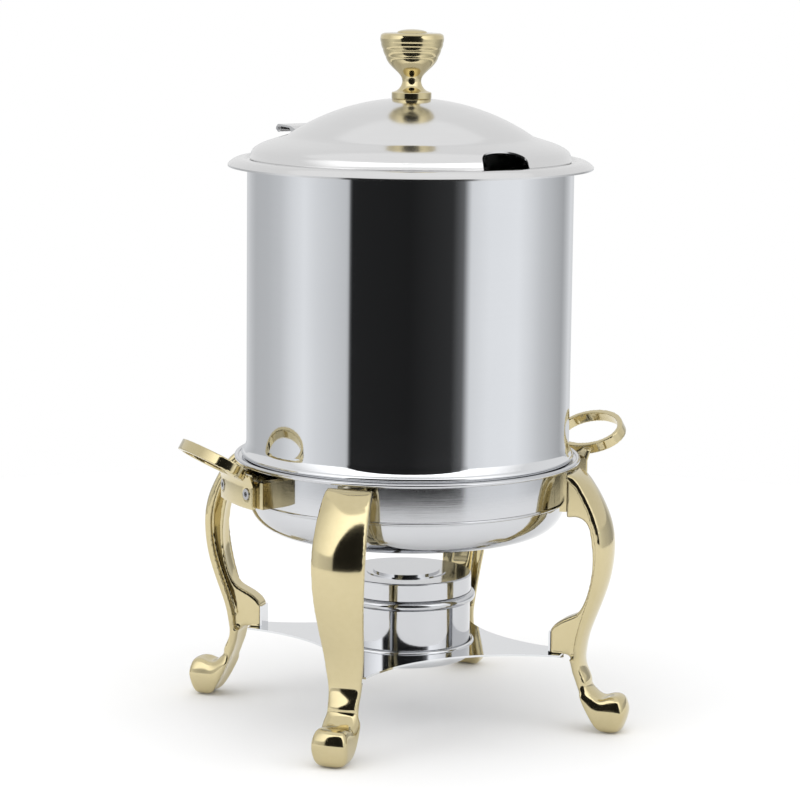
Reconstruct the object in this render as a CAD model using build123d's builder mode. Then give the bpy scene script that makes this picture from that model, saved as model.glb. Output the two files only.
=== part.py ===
"""Soup kettle on a four-legged stand: water pan, jacket, soup inset, hinged lid and fuel burner.

Units are millimetres. The origin is on the floor under the centre of the kettle, +Z is up,
the two handles lie along X and the four legs stand on the diagonals.
"""
from build123d import *
from math import asin, cos, degrees, radians, sin, sqrt
import os

os.makedirs("parts", exist_ok=True)

# ---------------------------------------------------------------- general
SHEET = 1.2                 # stainless sheet of the pan, jacket, inset and lid
SEAT_GAP = 0.3              # between pieces that only stand on each other
SLIP_GAP = 0.3              # between round pieces that slip into each other
SCREW_GAP = 0.1             # around a screw in its hole
LEG_ANGLES = {"back_right": 45, "back_left": 135, "front_left": 225, "front_right": 315}
HANDLE_ANGLES = {"right": 0, "left": 180}

# ---------------------------------------------------------------- pan and hoop
PAN_RADIUS = 123.0          # outer wall of the water pan
PAN_DEPTH = 57.0            # from the rim's flat down to the underside
PAN_CORNER = 24.0
RIM_WIDTH = 11.2            # rim outside the pan's wall
RIM_ROLL = 1.8              # radius of that roll
HOOP_TOP = 203.0
HOOP_HEIGHT = 30.0
HOOP_WALL = 2.0
HOOP_LIP = 1.3              # radius of the rolled bottom lip

RIM_RADIUS = PAN_RADIUS + RIM_WIDTH
HOOP_INNER = PAN_RADIUS + SLIP_GAP
HOOP_OUTER = HOOP_INNER + HOOP_WALL
HOOP_BOTTOM = HOOP_TOP - HOOP_HEIGHT
RIM_UNDER = HOOP_TOP + SEAT_GAP
RIM_TOP = RIM_UNDER + SHEET
PAN_BOTTOM = RIM_TOP - PAN_DEPTH

# ---------------------------------------------------------------- jacket
JACKET_RADIUS = PAN_RADIUS + 2.0
JACKET_HEIGHT = 227.0
SKIRT_ROLL = 2.6            # rolled foot of the skirt
SKIRT_RADIUS = JACKET_RADIUS + 3.8
SKIRT_HEIGHT = 12.0
TOP_BEAD = 1.0              # rolled top edge

JACKET_BOTTOM = RIM_TOP + SEAT_GAP
JACKET_TOP = JACKET_BOTTOM + JACKET_HEIGHT

# ---------------------------------------------------------------- soup inset
INSET_RADIUS = PAN_RADIUS - 3.5
INSET_REACH = 9.2           # how far it hangs into the pan
INSET_CORNER = 18.0
FLANGE_RADIUS = JACKET_RADIUS + 14.8
FLANGE_STEP_RADIUS = JACKET_RADIUS + 1.0    # ring that keeps the lid central
FLANGE_STEP = 1.4
FLANGE_DROP = 3.8           # from the step down to the outer roll

FLANGE_UNDER = JACKET_TOP + SEAT_GAP
FLANGE_TOP = FLANGE_UNDER + SHEET
INSET_BOTTOM = RIM_TOP - INSET_REACH

# ---------------------------------------------------------------- lid
LID_RADIUS = FLANGE_STEP_RADIUS - 2.6
LID_EDGE = 1.0              # radius of the rolled edge
LID_BAND = 7.0              # upright band above the edge
SHOULDER_WIDTH = 28.9       # from the lid's edge in to where the shoulder meets the dome
SHOULDER_RISE = 18.0        # height of that turn above the seat
LID_RISE = 47.0             # height of the crown above the seat
NOTCH_WIDTH = 48.0          # ladle notch in the lid's edge
NOTCH_HEIGHT = 12.0
NOTCH_ANGLE = -81.4
HINGE_ANGLE = NOTCH_ANGLE + 180

SHOULDER_RADIUS = LID_RADIUS - SHOULDER_WIDTH
LID_SEAT = FLANGE_TOP + SEAT_GAP
CROWN_TOP = LID_SEAT + LID_RISE

# ---------------------------------------------------------------- knob
KNOB_HEIGHT = 53.0
KNOB_CUP_RADIUS = 24.6
KNOB_CAP_RADIUS = 11.5
KNOB_NECK_RADIUS = 7.3
KNOB_FOOT_RADIUS = 15.2
KNOB_FOOT_HEIGHT = 5.5
KNOB_SINK = 0.9             # how far the hollowed foot reaches down over the crown
KNOB_SCREW_RADIUS = 2.5
KNOB_SCREW_LENGTH = 16.0
KNOB_SCREW_HEAD = 3.0
WASHER_RADIUS = 9.0
WASHER_SHEET = 1.0

KNOB_BOTTOM = CROWN_TOP - KNOB_SINK
WASHER_TOP = CROWN_TOP - SHEET - SEAT_GAP

# ---------------------------------------------------------------- hinge
HINGE_WIDTH = 70.0
HINGE_KNUCKLE = 26.0        # length of the middle knuckle
HINGE_BARREL = 3.2
HINGE_PIN = 1.6
HINGE_FIT = 0.05            # running fit of the pin in the lid's knuckles
HINGE_END_GAP = 0.3
HINGE_LEAF = 1.5
HINGE_PIN_R = LID_RADIUS + 9.1      # distance of the pin from the kettle's axis
HINGE_PIN_RISE = 17.5       # height of the pin above the lid's seat
LEAF_REACH = LID_RADIUS - 19.4      # where the lid's leaf meets the shoulder

HINGE_PIN_Z = LID_SEAT + HINGE_PIN_RISE
KNUCKLE_END = HINGE_KNUCKLE / 2 + HINGE_END_GAP

# ---------------------------------------------------------------- legs
PAD_THICK = 5.2             # brass pads between the hoop and what is bolted to it
LEG_TOP = HOOP_TOP - 2.0
LEG_WEB = 15.0
LEG_FLANGE = 5.0
SHELF_TOP = 58.5
FOOT_WIDTH = 31.0

PAD_FACE = HOOP_OUTER + PAD_THICK
LUG_RADIUS = PAD_FACE - 10.9        # inner face of the lug that stands on the shelf
FOOT_INNER = PAD_FACE + 31.5
FOOT_OUTER = PAD_FACE + 45.0

# ---------------------------------------------------------------- screws
BOLT_RADIUS = 2.0
BOLT_HEAD = 3.8
BOLT_REACH = 12.0           # length in the brass behind the pad
BOLT_SINK = 0.2             # head below the hoop's inner face
LEG_BOLT_EDGE = 6.0         # lower bolt above the hoop's bottom
LEG_BOLT_PITCH = 12.0
LEG_BOLT_LEVELS = (HOOP_HEIGHT - LEG_BOLT_EDGE - LEG_BOLT_PITCH, HOOP_HEIGHT - LEG_BOLT_EDGE)

# ---------------------------------------------------------------- handles and brackets
BRACKET_HEIGHT = 20.0
BRACKET_TOP = HOOP_TOP - 5.0
BRACKET_WALL = 4.4
BRACKET_RADIUS = PAD_FACE + 13.1    # outer face
BRACKET_HALF_ANGLE = 13.0
BRACKET_END_WIDTH = 9.0
HANDLE_FOOT_WALL = 4.0
HANDLE_FOOT_HALF_ANGLE = 11.6
HANDLE_FOOT_HEIGHT = 22.0
HANDLE_SCREW_ANGLE = 8.6
HANDLE_SCREW_RADIUS = 2.0
HANDLE_SCREW_HEAD = 4.2
HANDLE_TILT = 32.0
LOOP_HALF_WIDTH = 36.0
LOOP_HALF_DEPTH = 24.0
LOOP_CORNER = 19.0
STRAP_WIDE = 9.0
STRAP_THICK = 4.6

FOOT_PLATE_INNER = BRACKET_RADIUS
FOOT_PLATE_OUTER = FOOT_PLATE_INNER + HANDLE_FOOT_WALL
FOOT_PLATE_TOP = BRACKET_TOP + (HANDLE_FOOT_HEIGHT - BRACKET_HEIGHT) / 2

# ---------------------------------------------------------------- shelf and burner
SHELF_SHEET = 1.5
SHELF_REACH = PAD_FACE - 1.5        # end of the arms, under the lugs
ARM_HALF_WIDTH = 12.0
TAB_WIDTH = 14.0
TAB_HEIGHT = 17.0
SHELF_SCREW_R = PAD_FACE - 5.5
SHELF_SCREW_RADIUS = 2.0
SHELF_SCREW_HEAD = 3.8
SHELF_SCREW_LENGTH = 10.0
BURNER_RADIUS = 50.2
BURNER_HEIGHT = 51.5
BURNER_SHEET = 0.9
BURNER_CORNER = 7.0
BURNER_BEAD = 3.9           # radius of the rolled mouth
DISH_DEPTH = 11.5
DISH_BEAD = 1.4
CAN_RADIUS = BURNER_RADIUS - 8.2
CAN_HEIGHT = BURNER_HEIGHT + 3.5
CAN_SHEET = 0.6
GEL_LEVEL = CAN_HEIGHT - 9.0
SNUFFER_HEIGHT = 13.5
SNUFFER_LIP = 6.0
SNUFFER_DISC = 26.0
SNUFFER_RING = 31.0
SNUFFER_STEP = 1.3
SHELF_WAIST = BURNER_RADIUS + 19.8  # nearest that the edge between two arms comes to the axis
SHELF_SCREW_HEAD_HEIGHT = 2.2

SHELF_BOTTOM = SHELF_TOP - SHELF_SHEET
DISH_RADIUS = BURNER_RADIUS + 2 * SLIP_GAP
DISH_FLOOR = SHELF_TOP - DISH_DEPTH
BURNER_BOTTOM = DISH_FLOOR + SEAT_GAP
BURNER_TOP = BURNER_BOTTOM + BURNER_HEIGHT
SNUFFER_SEAT = BURNER_TOP + SEAT_GAP


def save(builder, name):
    """Label a finished piece and write its STEP file."""
    builder.part.label = name
    export_step(builder.part, f"parts/{name}.step")


def radial_plane(angle, distance=0.0, height=0.0):
    """Plane facing outwards at an angle: local X runs around the kettle, local Y is up."""
    out = Vector(cos(radians(angle)), sin(radians(angle)), 0)
    around = Vector(-out.Y, out.X, 0)
    origin = out * distance + Vector(0, 0, height)
    return Plane(origin=origin, x_dir=around, z_dir=out)


def side_plane(angle):
    """Plane through the axis at an angle: local X is the distance from the axis, local Y is up."""
    out = Vector(cos(radians(angle)), sin(radians(angle)), 0)
    return Plane(origin=(0, 0, 0), x_dir=out, z_dir=(out.Y, -out.X, 0))


def radial_origin(angle, distance, height):
    """Point at a distance from the axis, at an angle and a height."""
    return (distance * cos(radians(angle)), distance * sin(radians(angle)), height)


def turned(x, y, angle):
    """A flat point turned about the axis."""
    across, along = cos(radians(angle)), sin(radians(angle))
    return (x * across - y * along, x * along + y * across)


def crown_arc(radius, rim_height, top_height):
    """Arc from a rim up to the axis, centred on the axis, in the current line."""
    rise = top_height - rim_height
    sphere = (radius**2 + rise**2) / (2 * rise)
    middle = top_height - sphere + sqrt(sphere**2 - (radius / 2) ** 2)
    ThreePointArc((radius, rim_height), (radius / 2, middle), (0, top_height))


# ================================================================ stand
# The hoop that carries the pan: a plain band with a rolled lip at the bottom.
HOOP_BOLTS = [
    (angle, HOOP_TOP - level) for angle in LEG_ANGLES.values() for level in LEG_BOLT_LEVELS
] + [
    (angle + side * BRACKET_HALF_ANGLE, BRACKET_TOP - BRACKET_HEIGHT / 2)
    for angle in HANDLE_ANGLES.values() for side in (-1, 1)
]


def cut_bolt_holes(bolts, clearance=SCREW_GAP):
    """Cut the countersunk holes of the bolts that pass outwards through the hoop."""
    for angle, height in bolts:
        with BuildSketch(radial_plane(angle, HOOP_INNER - SLIP_GAP, height)) as mouth:
            Circle(BOLT_HEAD + clearance)
        extrude(mouth.sketch, amount=SLIP_GAP + BOLT_SINK, mode=Mode.SUBTRACT)
        with BuildSketch(radial_plane(angle, HOOP_INNER + BOLT_SINK, height)) as wide:
            Circle(BOLT_HEAD + clearance)
        with BuildSketch(radial_plane(angle, HOOP_OUTER + HOOP_LIP, height)) as narrow:
            Circle(BOLT_RADIUS + clearance)
        loft([wide.sketch, narrow.sketch], mode=Mode.SUBTRACT)


def hoop_profile():
    """Section of the hoop in the current sketch."""
    with Locations((HOOP_INNER, HOOP_BOTTOM)):
        Rectangle(HOOP_WALL, HOOP_HEIGHT, align=Align.MIN)
    with Locations((HOOP_OUTER - HOOP_LIP / 3, HOOP_BOTTOM + HOOP_LIP)):
        Circle(HOOP_LIP)


with BuildPart() as support_hoop:
    with BuildSketch(Plane.XZ):
        hoop_profile()
    revolve(axis=Axis.Z)
    cut_bolt_holes(HOOP_BOLTS)

save(support_hoop, "support_hoop")


def make_pads(angles, width, bottom, top, bolts):
    """Brass pads that fill the space between the hoop and a flat face outside it."""
    with BuildPart() as pads:
        for angle in angles:
            with BuildSketch(radial_plane(angle, HOOP_INNER)):
                with Locations((0, (top + bottom) / 2)):
                    Rectangle(width, top - bottom)
            extrude(amount=PAD_FACE - HOOP_INNER)
        with BuildSketch(Plane.XZ):
            hoop_profile()
            with Locations((0, bottom - 1)):
                Rectangle(HOOP_OUTER, top - bottom + 2, align=Align.MIN)
        revolve(axis=Axis.Z, mode=Mode.SUBTRACT)
        for angle, height in bolts:
            with BuildSketch(radial_plane(angle, HOOP_INNER, height)):
                Circle(BOLT_RADIUS + SCREW_GAP)
            extrude(amount=PAD_FACE, mode=Mode.SUBTRACT)
    return pads


LEG_BOLTS = [bolt for bolt in HOOP_BOLTS if bolt[0] in LEG_ANGLES.values()]
BRACKET_BOLTS = [bolt for bolt in HOOP_BOLTS if bolt[0] not in LEG_ANGLES.values()]
LEG_PAD_BOTTOM = HOOP_BOTTOM - 3
BRACKET_ANGLES = [angle for angle, _ in BRACKET_BOLTS]

save(make_pads(LEG_ANGLES.values(), LEG_WEB, LEG_PAD_BOTTOM, HOOP_TOP - 3, LEG_BOLTS), "leg_pads")
save(
    make_pads(BRACKET_ANGLES, BRACKET_END_WIDTH, BRACKET_TOP - BRACKET_HEIGHT, BRACKET_TOP,
              BRACKET_BOLTS),
    "bracket_pads",
)


def make_bolts(bolts):
    """Countersunk bolts with their heads just below the hoop's inner face."""
    with BuildPart() as group:
        for angle, height in bolts:
            with BuildSketch(radial_plane(angle, HOOP_INNER + BOLT_SINK, height)):
                Circle(BOLT_HEAD)
            with BuildSketch(radial_plane(angle, HOOP_OUTER, height)):
                Circle(BOLT_RADIUS)
            loft()
            with BuildSketch(radial_plane(angle, HOOP_OUTER, height)):
                Circle(BOLT_RADIUS)
            extrude(amount=PAD_THICK + BOLT_REACH)
    return group


save(make_bolts(LEG_BOLTS), "leg_bolts")
save(make_bolts(BRACKET_BOLTS), "bracket_bolts")

def leg_points(points):
    """Side outline points from (distance outside the pads, level): level -1 is the floor,
    0 the shelf and 1 the leg's top."""
    return [(PAD_FACE + out, leg_height(level)) for out, level in points]


def leg_height(level):
    """Height above the floor of a level of the leg."""
    return SHELF_TOP + level * (LEG_TOP - SHELF_TOP if level > 0 else SHELF_TOP)


# Side outline of a cast leg, from its top under the pan's rim down to the foot.
LEG_OUTER = leg_points([
    (3, 1), (12.5, 0.972), (20.5, 0.909), (27.5, 0.825), (33, 0.733), (35.8, 0.628),
    (35.5, 0.53), (33, 0.418), (28.5, 0.312), (22.5, 0.2), (17.1, 0.088), (14.9, -0.009),
    (16.5, -0.197), (20.5, -0.368), (26.5, -0.504)])
LEG_OUTER_ENDS = [(1, -0.1), (1, -0.9)]
LEG_FOOT_TOP = leg_points([
    (26.5, -0.504), (32, -0.556), (37.5, -0.513), (43.5, -0.496), (48.5, -0.556), (50.1, -0.692),
    (48.5, -0.863)])
LEG_INNER_LOW = leg_points([
    (31.5, -1), (24, -0.795), (15.5, -0.504), (9.5, -0.265), (7, -0.068)])
LEG_INNER_MID = leg_points([
    (-10.9, 0.13), (-6.5, 0.168), (2.5, 0.204), (10.5, 0.235), (15.5, 0.291), (19.5, 0.382),
    (21.5, 0.488), (21.1, 0.586), (19, 0.684)])
LEG_INNER_TOP = leg_points([(19, 0.684), (14.5, 0.737)]) + [(PAD_FACE, LEG_PAD_BOTTOM - 5)]
LUG_HEEL = LUG_RADIUS + 14
# Half widths of the leg as it is seen from outside, from the top down.
LEG_FRONT = [
    (half, leg_height(level)) for half, level in [
        (17.5, 1.014), (19.5, 0.888), (20.5, 0.747), (20.6, 0.607), (19.5, 0.446), (17.5, 0.277),
        (15, 0.095), (12.6, -0.145), (12, -0.35), (12.8, -0.47)]
]
FOOT_CHAMFER = 3
FOOT_SHOULDER = 28


def leg_side():
    """Closed side outline of the leg in the current sketch."""
    with BuildLine() as outline:
        Line((PAD_FACE, LEG_TOP), LEG_OUTER[0])
        Spline(LEG_OUTER, tangents=LEG_OUTER_ENDS)
        Spline(LEG_FOOT_TOP, tangents=[(1, -0.9), (-0.25, -1)])
        Polyline(LEG_FOOT_TOP[-1], (FOOT_OUTER, 0), LEG_INNER_LOW[0])
        Spline(LEG_INNER_LOW)
        Polyline(LEG_INNER_LOW[-1], (LUG_HEEL, SHELF_TOP), (LUG_RADIUS, SHELF_TOP),
                 LEG_INNER_MID[0])
        Spline(LEG_INNER_MID)
        Spline(LEG_INNER_TOP)
        Line(LEG_INNER_TOP[-1], (PAD_FACE, LEG_TOP))
    make_face(outline.edges())


def flange_back(steps=9):
    """Points on the inner face of the wide outer flange, one flange behind its outer line."""
    face = Spline(LEG_OUTER, tangents=LEG_OUTER_ENDS)
    points = []
    for step in range(steps + 1):
        point = face.position_at(step / steps)
        along = face.tangent_at(step / steps)
        points.append((point.X + along.Y * LEG_FLANGE, point.Y - along.X * LEG_FLANGE))
    return points


FLANGE_BACK = flange_back()


def pocket_side():
    """Side outline of the pockets behind the wide outer flange, in the current sketch."""
    above = LEG_TOP + 10
    with BuildLine() as outline:
        Spline(FLANGE_BACK)
        Polyline(FLANGE_BACK[-1], (0, FLANGE_BACK[-1][1]), (0, above), (FLANGE_BACK[0][0], above),
                 FLANGE_BACK[0])
    make_face(outline.edges())


def pocket_shift(angle, side):
    """Step from the leg's middle plane to one face of its web."""
    return side_plane(angle).z_dir * (side * LEG_WEB / 2)


def make_leg(angle):
    """One cast leg: wide outer flange, central web, shelf lug and ball foot."""
    with BuildPart() as leg:
        with BuildSketch(side_plane(angle)):
            leg_side()
        extrude(amount=LEG_FRONT[2][0] + 1, both=True)
        # trimmed to its outline as seen from outside
        with BuildSketch(radial_plane(angle, PAD_FACE)):
            with BuildLine():
                Spline(LEG_FRONT)
                Polyline(LEG_FRONT[-1], (FOOT_WIDTH / 2, FOOT_SHOULDER),
                         (FOOT_WIDTH / 2, FOOT_CHAMFER), (FOOT_WIDTH / 2 - FOOT_CHAMFER, 0),
                         (0, 0), (0, LEG_FRONT[0][1]), LEG_FRONT[0])
            make_face()
            mirror(about=Plane.YZ)
        extrude(amount=FOOT_OUTER, both=True, mode=Mode.INTERSECT)
        # pockets on both sides of the web, behind the flange
        with BuildSketch(side_plane(angle), mode=Mode.PRIVATE) as pocket:
            pocket_side()
            with Locations((PAD_FACE, SHELF_TOP - 2)):
                Rectangle(100, LEG_TOP, align=(Align.CENTER, Align.MIN), mode=Mode.INTERSECT)
        for side in (-1, 1):
            extrude(pocket.sketch.moved(Location(pocket_shift(angle, side))),
                    amount=side * LEG_WEB, mode=Mode.SUBTRACT)
        for level in LEG_BOLT_LEVELS:
            with BuildSketch(radial_plane(angle, PAD_FACE, HOOP_TOP - level)):
                Circle(BOLT_RADIUS + SCREW_GAP)
            extrude(amount=BOLT_REACH + 1, mode=Mode.SUBTRACT)
        with BuildSketch(Plane(radial_origin(angle, SHELF_SCREW_R, SHELF_TOP), z_dir=(0, 0, 1))):
            Circle(SHELF_SCREW_RADIUS + SCREW_GAP)
        extrude(amount=SHELF_SCREW_LENGTH, mode=Mode.SUBTRACT)
    return leg


for leg_name, leg_angle in LEG_ANGLES.items():
    save(make_leg(leg_angle), f"leg_{leg_name}")

# ================================================================ burner shelf
ARM_TIP = sqrt(SHELF_REACH**2 - ARM_HALF_WIDTH**2)


with BuildPart() as burner_shelf:
    with BuildSketch(Plane.XY.offset(SHELF_BOTTOM)):
        with BuildLine():
            for angle in LEG_ANGLES.values():
                near = turned(ARM_TIP, -ARM_HALF_WIDTH, angle)
                far = turned(ARM_TIP, ARM_HALF_WIDTH, angle)
                waist = turned(SHELF_WAIST, 0, angle + 45)
                following = turned(ARM_TIP, -ARM_HALF_WIDTH, angle + 90)
                Line(near, far)
                ThreePointArc(far, waist, following)
        make_face()
    extrude(amount=SHELF_SHEET)
    # the dish that the burner stands in, with a raised bead around it
    with BuildSketch(Plane.XZ):
        with Locations((DISH_RADIUS + DISH_BEAD, SHELF_TOP)):
            Circle(DISH_BEAD)
        with Locations((0, DISH_FLOOR - SHELF_SHEET)):
            Rectangle(DISH_RADIUS + SHELF_SHEET, DISH_DEPTH + SHELF_SHEET, align=Align.MIN)
    revolve(axis=Axis.Z)
    with BuildSketch(Plane.XZ):
        with BuildLine():
            Line((0, DISH_FLOOR), (DISH_RADIUS - BURNER_CORNER, DISH_FLOOR))
            RadiusArc((DISH_RADIUS - BURNER_CORNER, DISH_FLOOR),
                      (DISH_RADIUS, DISH_FLOOR + BURNER_CORNER), -BURNER_CORNER)
            Line((DISH_RADIUS, DISH_FLOOR + BURNER_CORNER), (DISH_RADIUS, SHELF_TOP + 5))
            Line((DISH_RADIUS, SHELF_TOP + 5), (0, SHELF_TOP + 5))
            Line((0, SHELF_TOP + 5), (0, DISH_FLOOR))
        make_face()
    revolve(axis=Axis.Z, mode=Mode.SUBTRACT)
    dish_edge = burner_shelf.edges().filter_by(GeomType.CIRCLE).sort_by(Axis.Z)[0]
    fillet(dish_edge, radius=BURNER_CORNER)
    # tabs turned up against the ends of the lugs
    for angle in LEG_ANGLES.values():
        with BuildSketch(radial_plane(angle, LUG_RADIUS, SHELF_TOP)):
            Rectangle(TAB_WIDTH, TAB_HEIGHT, align=(Align.CENTER, Align.MIN))
        extrude(amount=-SHELF_SHEET)
    with BuildSketch(Plane.XY.offset(SHELF_BOTTOM)):
        for angle in LEG_ANGLES.values():
            with Locations(turned(SHELF_SCREW_R, 0, angle)):
                Circle(SHELF_SCREW_RADIUS + SCREW_GAP)
    extrude(amount=SHELF_SHEET, mode=Mode.SUBTRACT)

save(burner_shelf, "burner_shelf")

with BuildPart() as shelf_screws:
    for angle in LEG_ANGLES.values():
        head = Plane(radial_origin(angle, SHELF_SCREW_R, SHELF_BOTTOM), z_dir=(0, 0, 1))
        with BuildSketch(head):
            Circle(SHELF_SCREW_HEAD)
        extrude(amount=-SHELF_SCREW_HEAD_HEIGHT)
        with BuildSketch(head):
            Circle(SHELF_SCREW_RADIUS)
        extrude(amount=SHELF_SHEET + SHELF_SCREW_LENGTH - 1)

save(shelf_screws, "shelf_screws")

# ================================================================ burner
with BuildPart() as burner_cup:
    with BuildSketch(Plane.XZ):
        with BuildLine():
            Line((0, BURNER_BOTTOM), (BURNER_RADIUS - BURNER_CORNER, BURNER_BOTTOM))
            RadiusArc((BURNER_RADIUS - BURNER_CORNER, BURNER_BOTTOM),
                      (BURNER_RADIUS, BURNER_BOTTOM + BURNER_CORNER), -BURNER_CORNER)
            Line((BURNER_RADIUS, BURNER_BOTTOM + BURNER_CORNER), (BURNER_RADIUS, BURNER_TOP))
            Line((BURNER_RADIUS, BURNER_TOP), (0, BURNER_TOP))
            Line((0, BURNER_TOP), (0, BURNER_BOTTOM))
        make_face()
    revolve(axis=Axis.Z)
    # rolled mouth: a bead that stands out from the wall
    with BuildSketch(Plane.XZ):
        with Locations((BURNER_RADIUS, BURNER_TOP - BURNER_BEAD)):
            Circle(BURNER_BEAD)
    revolve(axis=Axis.Z)
    with BuildSketch(Plane.XZ):
        with BuildLine():
            inner = BURNER_RADIUS - BURNER_SHEET
            floor = BURNER_BOTTOM + BURNER_SHEET
            corner = BURNER_CORNER - BURNER_SHEET
            Line((0, floor), (inner - corner, floor))
            RadiusArc((inner - corner, floor), (inner, floor + corner), -corner)
            Line((inner, floor + corner), (inner, BURNER_TOP + 1))
            Line((inner, BURNER_TOP + 1), (0, BURNER_TOP + 1))
            Line((0, BURNER_TOP + 1), (0, floor))
        make_face()
    revolve(axis=Axis.Z, mode=Mode.SUBTRACT)

save(burner_cup, "burner_cup")

CAN_BOTTOM = BURNER_BOTTOM + BURNER_SHEET

with BuildPart() as fuel_can:
    with BuildSketch(Plane.XY.offset(CAN_BOTTOM)):
        Circle(CAN_RADIUS)
    extrude(amount=CAN_HEIGHT)
    with BuildSketch(Plane.XY.offset(CAN_BOTTOM + CAN_SHEET)):
        Circle(CAN_RADIUS - CAN_SHEET)
    extrude(amount=CAN_HEIGHT, mode=Mode.SUBTRACT)
    # turned-in rim of the can's wide mouth
    with BuildSketch(Plane.XY.offset(CAN_BOTTOM + CAN_HEIGHT)):
        Circle(CAN_RADIUS)
        Circle(CAN_RADIUS * 0.6, mode=Mode.SUBTRACT)
    extrude(amount=-CAN_SHEET)

save(fuel_can, "fuel_can")

with BuildPart() as fuel_gel:
    with BuildSketch(Plane.XY.offset(CAN_BOTTOM + CAN_SHEET)):
        Circle(CAN_RADIUS - CAN_SHEET)
    extrude(amount=GEL_LEVEL)

save(fuel_gel, "fuel_gel")

SNUFFER_RADIUS = BURNER_RADIUS + 0.6
SNUFFER_TOP = SNUFFER_SEAT + SNUFFER_HEIGHT
LIP_RADIUS = BURNER_RADIUS - BURNER_SHEET - 2 * SLIP_GAP

with BuildPart() as snuffer_cover:
    with BuildSketch(Plane.XY.offset(SNUFFER_SEAT)):
        Circle(SNUFFER_RADIUS)
    extrude(amount=SNUFFER_HEIGHT)
    fillet(snuffer_cover.edges().group_by(Axis.Z)[-1], radius=1.2)
    with BuildSketch(Plane.XY.offset(SNUFFER_TOP)):
        Circle(SNUFFER_RING)
    extrude(amount=SNUFFER_STEP / 2)
    with BuildSketch(Plane.XY.offset(SNUFFER_TOP + SNUFFER_STEP / 2)):
        Circle(SNUFFER_DISC)
    extrude(amount=SNUFFER_STEP)
    # the lip that slips into the burner's mouth
    with BuildSketch(Plane.XY.offset(SNUFFER_SEAT - SNUFFER_LIP)):
        Circle(LIP_RADIUS)
    extrude(amount=SNUFFER_LIP)
    with BuildSketch(Plane.XY.offset(SNUFFER_SEAT - SNUFFER_LIP)):
        Circle(LIP_RADIUS - BURNER_SHEET)
    extrude(amount=SNUFFER_LIP + SNUFFER_HEIGHT - BURNER_SHEET, mode=Mode.SUBTRACT)

save(snuffer_cover, "snuffer_cover")

# ================================================================ brackets and handles
def arc_plate(angle, inner, outer, half_angle, bottom, top):
    """Piece of a ring about the axis, added to the current part."""
    start, end = angle - half_angle, angle + half_angle
    with BuildSketch(Plane.XY.offset(bottom)) as plate:
        with BuildLine():
            low_start = turned(inner, 0, start)
            low_mid = turned(inner, 0, angle)
            low_end = turned(inner, 0, end)
            high_start = turned(outer, 0, start)
            high_mid = turned(outer, 0, angle)
            high_end = turned(outer, 0, end)
            ThreePointArc(low_start, low_mid, low_end)
            Line(low_end, high_end)
            ThreePointArc(high_end, high_mid, high_start)
            Line(high_start, low_start)
        make_face()
    extrude(plate.sketch, amount=top - bottom)


def make_bracket(angle):
    """Bar that bows out from the hoop and ends on two pads."""
    bottom = BRACKET_TOP - BRACKET_HEIGHT
    end_angle = degrees(asin(BRACKET_END_WIDTH / 2 / BRACKET_RADIUS))
    with BuildPart() as bracket:
        arc_plate(angle, BRACKET_RADIUS - BRACKET_WALL, BRACKET_RADIUS,
                  BRACKET_HALF_ANGLE + end_angle, bottom, BRACKET_TOP)
        for side in (-1, 1):
            end = angle + side * BRACKET_HALF_ANGLE
            with BuildSketch(radial_plane(end, PAD_FACE, bottom)):
                Rectangle(BRACKET_END_WIDTH, BRACKET_HEIGHT, align=(Align.CENTER, Align.MIN))
            extrude(amount=BRACKET_RADIUS - BRACKET_WALL / 2 - PAD_FACE)
            with BuildSketch(radial_plane(end, PAD_FACE, bottom + BRACKET_HEIGHT / 2)):
                Circle(BOLT_RADIUS + SCREW_GAP)
            extrude(amount=BOLT_REACH + 1, mode=Mode.SUBTRACT)
        for side in (-1, 1):
            screw = radial_plane(angle + side * HANDLE_SCREW_ANGLE, PAD_FACE,
                                 bottom + BRACKET_HEIGHT / 2)
            with BuildSketch(screw):
                Circle(HANDLE_SCREW_RADIUS + SCREW_GAP)
            extrude(amount=BRACKET_RADIUS, mode=Mode.SUBTRACT)
    return bracket


def loop_plane(angle):
    """Tilted plane of the handle's loop: local X runs around the kettle, local Y outwards."""
    out = Vector(cos(radians(angle)), sin(radians(angle)), 0)
    around = Vector(-out.Y, out.X, 0)
    rise = Vector(0, 0, 1)
    up_slope = out * cos(radians(HANDLE_TILT)) + rise * sin(radians(HANDLE_TILT))
    normal = around.cross(up_slope)
    inner_side = out * ((FOOT_PLATE_INNER + FOOT_PLATE_OUTER) / 2) + rise * (FOOT_PLATE_TOP + 1.0)
    return Plane(origin=inner_side + up_slope * LOOP_HALF_DEPTH, x_dir=around, z_dir=normal)


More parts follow.
